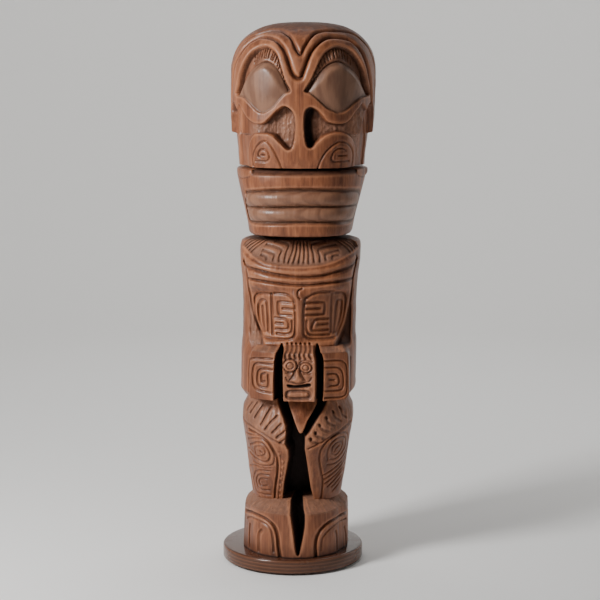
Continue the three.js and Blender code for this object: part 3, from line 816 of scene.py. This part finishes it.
yoke = [
    (-100, 470), (-100, 453), (-88, 450), (-69, 442), (-57, 438), (-45, 434), (-30, 431), (-8, 430),
    (14, 430), (36, 432), (52, 436), (70, 441), (90, 448), (104, 452), (104, 470),
]
torso.sink(yoke, depth=3.0, wall=3, soft=False)
second_line = [
    (-86, 432), (-75, 426), (-52, 423), (-29, 419), (-8, 416), (13, 415), (34, 417), (55, 422),
    (74, 426), (87, 430), (100, 436),
]
third_line = [
    (-73, 410), (-51, 409), (-33, 407), (-13, 405), (12, 404), (36, 406), (60, 408), (88, 410),
]
torso.groove(second_line, 5.0, 3.6)
torso.groove(third_line, 4.6, 3.4)
yoke_cuts = [
    [(-11, 460), (-9, 450), (-12, 434)], [(-3, 460), (-2, 448), (-5, 434)],
    [(4, 460), (5, 450), (3, 434)], [(11, 460), (12, 448), (10, 434)],
    [(18, 460), (19, 450), (17, 434)], [(-50, 461), (-34, 459), (-20, 456), (-19, 446), (-18, 435)],
    [(-60, 456), (-44, 454), (-29, 450), (-28, 443), (-26, 436)],
    [(-58, 449), (-47, 447), (-37, 444), (-35, 437)], [(-56, 443), (-48, 441), (-45, 438)],
    [(56, 461), (40, 459), (27, 456), (26, 446), (25, 435)],
    [(68, 456), (50, 454), (36, 450), (35, 443), (33, 436)],
    [(66, 449), (54, 447), (44, 444), (42, 438)], [(62, 443), (54, 442), (51, 439)],
]
yoke_cuts += [[(-66 - 6 * i, 462 + i), (-74 - 6 * i, 446 + 2.2 * i)] for i in range(4)]
yoke_cuts += [[(74 + 6 * i, 462 + i), (82 + 6 * i, 446 + 2.2 * i)] for i in range(4)]
torso.grooves(4.4, 2.8, *yoke_cuts, shoulder=1.3)
torso.swell(yoke, -1.2, 5, soft=False)
collar = [
    (-98, 447), (-70, 438), (-45, 430), (-8, 426), (14, 426), (52, 431), (90, 443), (100, 438),
    (74, 429), (34, 419), (5, 418), (-33, 420), (-75, 429), (-88, 435),
]
second_band = [
    (-78, 423), (-52, 420), (-29, 416), (5, 412), (34, 414), (57, 418), (86, 425), (86, 412), (40, 409),
    (5, 408), (-30, 409), (-74, 411),
]
for outline in (collar, second_band):
    torso.swell(outline, 2.2, 4.5, soft=False)

torso.ridge(middle=middle_line, rise=5, fall=13, run=62, low=320, high=403, soft=16)
shield = [
    (-74, 408), (-30, 407), (4, 405), (40, 406), (80, 408), (85, 398), (83, 378), (76, 352), (66, 330),
    (60, 318), (-50, 318), (-58, 336), (-66, 358), (-71, 384),
]
torso.swell(shield, 1.4, 4, soft=False)
for wide, deep, points in (
    (6.0, 3.4, [(-86, 436), (-78, 420), (-75, 404), (-71, 382), (-66, 358), (-57, 334), (-51, 320)]),
    (7.0, 4.6, [(96, 438), (89, 420), (87, 402), (85, 380), (77, 352), (68, 330), (61, 319)]),
):
    torso.groove(points, wide, deep, shoulder=1.6)
arm_gap_left = [(-75, 384), (-66, 356), (-56, 332), (-52, 318), (-70, 318), (-76, 345)]
torso.sink(arm_gap_left, 2.6, wall=8)
torso.shade(arm_gap_left, 1.0, edge=8, field=torso.raw)
arm_left = [(-128, 440), (-80, 426), (-74, 400), (-66, 360), (-52, 318), (-128, 318)]
arm_right = [(136, 440), (92, 428), (88, 400), (78, 352), (62, 318), (136, 318)]
for outline in (arm_left, arm_right):
    distance, at = torso.within(outline, soft=False)
    torso.raw[at] = np.maximum(torso.raw[at], 0.2 * ease(distance, -1, 3))
torso.shade(yoke, 0.95, soft=False, edge=4, field=torso.raw)
arm_wedge_right = [(86, 372), (77, 349), (69, 330), (63, 319), (88, 318), (89, 338), (89, 358)]
torso.sink(arm_wedge_right, 7, wall=7)
# Painted shade in the deep gap between the right arm and the shield.
torso.shade(arm_wedge_right, -0.7, edge=6)
chest_cuts = [
    [
        (-35, 391), (-52, 390), (-61, 385), (-64, 376), (-64, 362), (-60, 343), (-53, 331), (-44, 328),
        (-12, 328), (-3, 333), (-1, 344), (-1, 377), (-5, 387), (-14, 392), (-30, 392),
    ],
    [(-35, 391), (-36, 362), (-37, 334)],
    [(-53, 336), (-57, 354), (-57, 371), (-52, 380), (-46, 381), (-43, 376), (-43, 357), (-44, 337)],
    [(-50, 337), (-50, 354), (-50, 372)],
    [(-4, 380.5), (-23, 380.5), (-26, 377), (-26, 365), (-23, 362), (-6, 362)],
    [(-3, 371.5), (-19, 371.5)],
    [(-32, 357), (-17, 357), (-12, 353), (-11, 347), (-14, 342), (-32, 341)],
    [(-31, 349.5), (-20, 349.5)], [(-30, 335), (-14, 335), (-7, 340), (-6, 354)],
    [(50, 395), (30, 394), (18, 389), (12, 381), (12, 341), (16, 332), (26, 328), (58, 328)],
    [(49, 391), (50, 365), (52, 337)],
    [(15, 380), (36, 380), (40, 376), (40, 366), (37, 363), (15, 363)], [(16, 371.5), (34, 371.5)],
    [(46, 356), (31, 356), (26, 351), (24, 344), (27, 340), (47, 340)], [(33, 348.5), (46, 348.5)],
    [(16, 354), (17, 342), (24, 334), (50, 333)],
    [(54, 392), (64, 391), (71, 386), (73, 376), (70, 354), (62, 331)],
    [(57, 336), (57, 375), (61, 381), (66, 376), (65, 356), (60, 336)],
]
torso.grooves(5.2, 3.0, *chest_cuts, shoulder=1.5)
torso.groove([(8, 400), (3, 397), (3, 390), (6, 386)], 3.4, 2.8)

hand_left = [(-65, 240), (-65, 312), (-60, 318), (-22, 318), (-27, 309), (-26, 240)]
hand_right = [(37, 240), (39, 310), (34, 318), (72, 318), (82, 311), (84, 240)]
small_head = [(-14, 240), (-17, 286), (-17, 320), (28, 320), (29, 300), (28, 240)]
for outline in (hand_left, hand_right):
    block(torso, outline, forward=94, wall=1.4, slope=4.5, turned=0.46)
block(torso, small_head, forward=93, wall=2.6, top=312, slope=2.4)
torso.shade(small_head, 0.45, soft=False, field=torso.raw)
gap_left = [(-26, 236), (-27, 312), (-22, 322), (-18, 312), (-16, 284), (-14, 236)]
gap_right = [(28, 236), (29, 284), (29, 312), (33, 322), (38, 310), (37, 284), (36, 236)]
for outline in (gap_left, gap_right):
    torso.slot(outline, depth=42, wall=3.8)
hand_cuts = [
    [(-65, 247), (-66, 292), (-62, 301), (-48, 303), (-30, 304)],
    [(-28, 296), (-50, 296), (-57, 290), (-57, 270), (-50, 259), (-27, 256)],
    [
        (-29, 289), (-41, 289), (-48, 286), (-50, 279), (-49, 268), (-43, 263), (-35, 264), (-34, 272),
        (-35, 281),
    ],
    [(-39, 283), (-44, 280), (-43, 271), (-39, 272)],
    [(40, 301), (58, 301), (70, 298), (76, 289), (76, 260), (68, 250), (40, 250)],
    [(40, 292), (58, 291), (66, 285), (68, 271), (64, 260), (39, 259)],
    [(44, 283), (56, 282), (60, 275), (58, 267), (46, 266)], [(47, 275), (53, 274)],
    [(84, 300), (84, 252)],
]
torso.grooves(3.7, 2.6, *hand_cuts, shoulder=1.4)
for outline in (hand_left, hand_right):
    distance, at = torso.within(outline, soft=False)
    torso.raw[at] = np.maximum(
        torso.raw[at], ease(torso.height[at], 311.5, 313.5) * ease(distance, -1, 1),
    )

# The small head: wavy flutes over the brow, ringed eyes, a broad nose and an open mouth.
for across in (-13, -6, 1, 8, 15, 22):
    flute = [(across, 322), (across + 1.8, 316), (across - 0.5, 310), (across + 1, 305)]
    torso.groove(flute, 4.4, 3.0, shoulder=1.4)
for middle, height, wide, tall in ((-5.5, 295.5, 9.6, 9), (15.5, 293, 8.2, 7)):
    around = np.linspace(0, 2 * math.pi, 11)[:-1]
    outer_ring = [(middle + wide * math.cos(a), height + tall * math.sin(a)) for a in around]
    inner_ring = [
        (middle + 0.5 * wide * math.cos(a), height + 0.5 * tall * math.sin(a))
        for a in around
    ]
    torso.swell(outer_ring, 2.0, 5)
    torso.groove(outer_ring + outer_ring[:1], 2.8, 2.6)
    torso.groove(inner_ring + inner_ring[:1], 2.4, 2.2)
torso.swell([(3, 290), (6, 289), (9, 281), (12, 275), (5, 271), (-3, 275), (1, 281)], 2.8, 3.5)
brow_and_nose = [
    [(4, 292), (8, 300), (15, 303), (24, 301)],
    [(1, 288), (-2, 281), (-6, 275)],
    [(8, 288), (11, 281), (15, 275)],
]
cheeks = [
    [(-12, 285), (-5, 285)],
    [(13, 284), (22, 284)],
    [(-11, 279), (-8, 274), (-2, 272), (5, 269.5), (12, 272), (20, 274), (23, 279)],
]
torso.grooves(2.6, 2.2, *brow_and_nose)
torso.grooves(2.6, 2.0, *cheeks)
mouth = [(-9, 269), (2, 268), (12, 269.5), (20, 271), (21, 267), (8, 264.5), (-5, 264.5)]
torso.sink(mouth, 5.5, wall=1.2)
# Painted shade inside the open mouth.
torso.shade(mouth, -1, edge=1.5)
torso.sink([(-8, 261), (19, 261), (20, 249), (-8, 249)], 3.0, wall=1.6)
torso.swell([(-6, 258.5), (17, 259), (17, 252), (-6, 251)], 3.4, 3.4)

# The sides and the back: a crease behind each arm that turns under the elbow, and the spine.
arm_crease = [(172, 448), (166, 400), (162, 340), (160, 290), (148, 268), (120, 262)]
for sign in (-1, 1):
    torso.groove([(sign * out, up) for out, up in arm_crease], 8, 5)
for spine in (-251, 251):
    torso.groove([(spine, 455), (spine, 350), (spine, 250)], 12, 3)
# Painted shade on the neck and shoulder tops in the gap under the jaw.
torso.tone -= 0.9 * ease(torso.height, 459, 464)
on_yoke = ease(torso.height, 424, 432)
torso.gouged(wide=10, tall=18, depth=0.5)
torso.gouged(wide=2.4, tall=24, depth=0.3, where=1 - 0.7 * on_yoke)
torso.gouged(wide=5, tall=20, depth=2.6, where=torso.raw * (1 - 0.85 * on_yoke))
torso.wood(log_wood)


# ---- Jaw ----
# The jaw hangs under a straight saw cut and tapers to the chin. A sunk field across its front
# holds the two thick lips, dark with many coats of stain.
jaw_stations = [
    (471, 70, 81, 71, 2.6), (473, 71.5, 82.5, 73, 2.6), (487, 74, 84, 75, 2.6), (509, 79, 87, 79, 2.6),
    (532, 84.7, 90, 84, 2.5), (546, 88, 92, 87, 2.4), (556, 90, 92.5, 88, 2.3),
    (559.5, 90, 92, 88, 2.3), (561, 88.5, 90, 87, 2.3), (561.6, 55, 48, 55, 2.2),
    (566.5, 55, 48, 55, 2.2),
]
jaw = Sheet(
    "jaw", jaw_stations, girth=88, low=471, high=566.5, reach=150, direct=(80, 81), seed=51, fine=0.9,
)
lip_bevel = [(-66, 566), (-63, 553), (86, 555), (90, 566)]
distance, at = jaw.within(lip_bevel, soft=False)
jaw.cut[at] -= ease(distance, -1, 5) * (1.5 + 6.0 * ease(jaw.height[at], 551, 563))
# Painted shade down in the mouth slit under the saw cut.
jaw.shade(lip_bevel, -0.6, soft=False, edge=4)
for corner in (
    [(-69, 563), (-67, 551), (-88, 548), (-108, 552), (-108, 563)],
    [(93, 563), (90, 552), (110, 549), (150, 550), (150, 563)],
):
    jaw.swell(corner, 1.6, 7)
    jaw.groove(corner[1:4], 3.0, 1.8)
lip_field = [
    (-80, 527), (-72, 532), (0, 537), (90, 534), (112, 529), (122, 519), (118, 500), (104, 488),
    (12, 489), (-76, 487), (-88, 497), (-89, 512),
]
jaw.sink(lip_field, depth=5.5, wall=6)
upper_lip = [
    (-85, 519), (-75, 529), (8, 533), (86, 530), (108, 524), (114, 516), (100, 511.5), (8, 512.5),
    (-78, 510),
]
lower_lip = [
    (-86, 503), (-80, 508.5), (8, 511), (96, 510), (113, 506), (112, 498), (100, 491), (8, 491.5),
    (-74, 489.5), (-85, 496),
]
for outline in (upper_lip, lower_lip):
    jaw.swell(outline, rise=8.4, run=10.5, root=0.62)
jaw.shade(lip_field, 0.8, edge=6)
jaw.gouged(wide=11, tall=16, depth=0.45)
jaw.gouged(wide=2.4, tall=22, depth=0.25)
jaw.wood(log_wood)


# ---- Head ----
# A tall dome. Rolled bands sweep over the brow and down round the eyes, which are two big leaf
# shapes under hatched lids. Below them a wavy mask band crosses the nose, over rough-gouged
# cheeks and two smooth mounds with spirals.
head_stations = [
    (564.5, 94, 92, 94, 2.2), (580, 95, 95, 95, 2.2), (604, 97.5, 96, 97, 2.15),
    (611, 98, 97, 97.5, 2.1), (640, 99.8, 97, 98, 2.1), (690, 100.3, 98, 99, 2.1),
    (760, 100.3, 98, 99, 2.1),
]
dome_start, dome_top, dome_radius = 690, 760, 98
dome_levels = np.linspace(dome_start, dome_top, 1401)
dome_share = (1 - ((dome_levels - dome_start) / (dome_top - dome_start)) ** 2.2) ** 0.348
dome_arc = dome_start + np.concatenate([
    [0], np.cumsum(np.hypot(np.diff(dome_levels), dome_radius * np.diff(dome_share))),
])


def crown(up):
    """Height and share of the log's girth at each distance up the skin and over the dome."""
    level = np.where(up > dome_start, np.interp(up, dome_arc, dome_levels), up)
    share = np.where(up > dome_start, np.interp(up, dome_arc, dome_share), 1.0)
    return level, share


head = Sheet(
    "head", head_stations, girth=100, low=564.5, high=dome_arc[-1], reach=160, direct=None, seed=67,
    fine=1.1, crown=crown,
)
face_middle = 3
hem_step, ear_step = 7, 8
first_groove = [
    (-132, 640), (-126, 670), (-118, 696), (-104, 719), (-99, 727), (-90, 737), (-75, 745), (-61, 745),
    (-50, 743), (-39, 739), (-29, 731), (-21, 721), (-15, 708), (-10, 694), (-4, 686), (3, 685),
    (7, 694), (12, 708), (18, 721), (28, 733), (41, 742), (56, 745), (74, 744), (89, 739), (97, 731),
    (103, 721), (110, 704), (116, 690), (123, 676), (130, 650),
]
second_groove = [
    (-150, 650), (-145, 690), (-132, 720), (-114, 740), (-94, 749), (-76, 758), (-60, 761), (-42, 759),
    (-26, 752), (-15, 743), (-8, 731), (-2, 721), (3, 717), (8, 728), (18, 744), (30, 754), (50, 759),
    (88, 758), (112, 753), (124, 741), (134, 725), (141, 706), (146, 688), (150, 650),
]
below_ears = 1 - ease(head.height, 607.5, 610)
head.lift -= hem_step * ease(np.abs(head.across - face_middle), 62, 106) * below_ears
head.groove(first_groove, 6.4, 7.0, shoulder=2.0)
head.groove(second_groove, 5.4, 5.0, shoulder=2.2)
brow_edge = [
    (-11, 668), (-19, 682), (-24, 696), (-31, 714), (-40, 724), (-51, 729), (-63, 728), (-75, 722),
    (-84, 711), (-95, 692), (-103, 674), (-108, 664),
]
mask_top = [
    (-103, 660), (-88, 658), (-77, 652), (-69, 646), (-60, 640), (-51, 638), (-43, 641), (-35, 646),
    (-27, 655), (-18, 664),
]
lid_edge = [
    (-104, 665), (-96, 674), (-85, 688), (-70, 700), (-56, 707), (-45, 707), (-34, 700), (-24, 686),
    (-14, 668),
]


def same(line):
    """A line of the left eye as it is."""
    return line


def other_side(line):
    """The line on the right eye, which is a little wider and closer to the nose."""
    return [
        (1 - 1.09 * (across - 1) - 5 * min(max((across + 45) / 27, 0), 1), up)
        for across, up in line
    ]


for side in (same, other_side):
    socket = side(brow_edge + mask_top)
    inside, at = head.share(socket, 1.8)
    eye = side(lid_edge + [(across, up - 10) for across, up in reversed(mask_top)])
    eye_path, eye_at = head.within(eye, margin=30)
    eye_distance = np.full(head.cut.shape, -9.0)
    eye_distance[eye_at] = eye_path
    facet = -6.4 + 0.7 * head.away(side(lid_edge))[at]
    belly = 0.6 - 3.6 * np.clip(1 - head.away(side(mask_top))[at] / 30, 0, 1) ** 2
    bulge = 0.5 * (facet + belly - np.sqrt((facet - belly) ** 2 + 1.5))
    trench = -4.5 - 5 * ease(np.abs(head.across[at] - face_middle), 52, 84)
    depth = np.where(eye_distance[at] > 0, bulge, trench)
    head.cut[at] = head.cut[at] * (1 - inside) + depth * inside
    head.shade(socket, 0.45)
    head.shade(side(lid_edge + mask_top[::-1]), 1, edge=2)
    head.groove(side(lid_edge), 2.2, 1.8)
    head.groove(side(brow_edge), 3.0, 2.4)
    brow_line, lid_line = curve(side(brow_edge)), curve(side(lid_edge)[::-1])
    for share in np.linspace(0, 1, 15):
        low = lid_line[int((0.08 + 0.58 * share) * (len(lid_line) - 1))]
        high = brow_line[int((0.10 + 0.56 * share) * (len(brow_line) - 1))]
        hatch = [tuple(low + (high - low) * 0.28), tuple(low + (high - low) * 0.94)]
        head.groove(hatch, 2.6, 2.4, shoulder=1.0)

cheek_left = [
    (-102, 648), (-90, 641), (-79, 631), (-67, 625), (-52, 624), (-42, 630), (-30, 641), (-19, 647),
    (-9, 641), (-5, 633), (-4, 620), (-5, 605), (-8, 593), (-14, 590), (-25, 599), (-37, 609),
    (-52, 611), (-66, 609), (-76, 600), (-83, 584), (-88, 558), (-118, 558), (-116, 612),
]
cheek_right = [
    (103, 648), (93, 644), (84, 637), (77, 629), (68, 624), (51, 624), (41, 628), (31, 639), (22, 644),
    (14, 640), (10, 626), (11, 608), (14, 597), (20, 593), (28, 600), (38, 608), (50, 612), (66, 612),
    (80, 607), (91, 598), (98, 584), (104, 558), (134, 558), (132, 612),
]
for outline, ends in ((cheek_left, (30, 66)), (cheek_right, (22, 96))):
    distance, at = head.within(outline)
    out = np.abs(head.across[at] - face_middle)
    depth = 2.6 + 11.5 * (1 - ease(out, *ends))
    head.cut[at] -= depth * ease(distance, -1.2, 1.2)
    rough = np.zeros_like(head.cut)
    rough[at] = ease(distance, 0, 4) * (1 - ease(out, ends[1] - 8, ends[1] + 22))
    head.gouged(wide=5.2, tall=6.0, depth=1.9, where=rough)
    head.gouged(wide=2.8, tall=3.2, depth=0.8, where=rough)
    head.raw += 0.9 * rough
nose_slot = [
    (10, 640), (9, 620), (12, 598), (18, 592), (24, 597), (22, 612), (21, 628), (24, 642), (17, 646),
]
head.sink(nose_slot, 5, wall=3)
# Painted shade in the deep slot beside the nose.
head.shade(nose_slot, -1, edge=5)
mound_spirals = [
    [
        (-22, 562), (-28, 577), (-34, 588), (-41, 597), (-48, 601), (-57, 597), (-65, 589), (-70, 578),
        (-71, 566),
    ],
    [
        (-64, 573), (-54, 573), (-45, 574), (-41, 579), (-44, 587), (-51, 590), (-57, 587), (-59, 581),
        (-55, 579),
    ],
    [(-53, 582), (-48, 582)],
    [
        (29, 562), (34, 576), (41, 587), (50, 595), (60, 600), (69, 599), (78, 595), (86, 588),
        (90, 578), (90, 564),
    ],
    [(80, 573), (63, 573), (53, 573), (49, 577), (51, 585), (57, 590), (65, 591), (72, 588)],
    [(60, 581), (73, 581)],
]
head.grooves(3.4, 2.2, *mound_spirals)
ear_edge = [(104, 600), (106, 628), (111, 643), (121, 650), (132, 646), (138, 632), (141, 600)]
behind_ear = [(170, 600), (168, 640), (172, 690), (186, 730)]
for sign in (-1, 1):
    ear = [(face_middle + sign * out, up) for out, up in ear_edge]
    share, at = head.share(ear, 3)
    head.lift[at] -= ear_step * share * (1 - below_ears[at])
    head.groove([(face_middle + sign * out, up) for out, up in behind_ear], 7, 4)
below_pole = 1 - ease(head.height, dome_arc[-1] - 60, dome_arc[-1] - 20)
# The colour is made darker towards the top of the dome.
head.tone -= 0.5 * ease(head.height, 728, 775)
on_eyes = head.tone > 0.5
head.gouged(wide=12, tall=18, depth=0.6, where=below_pole * (1 - 0.6 * on_eyes))
head.gouged(wide=2.6, tall=24, depth=0.22, where=below_pole * (1 - on_eyes))
head.wood(log_wood)
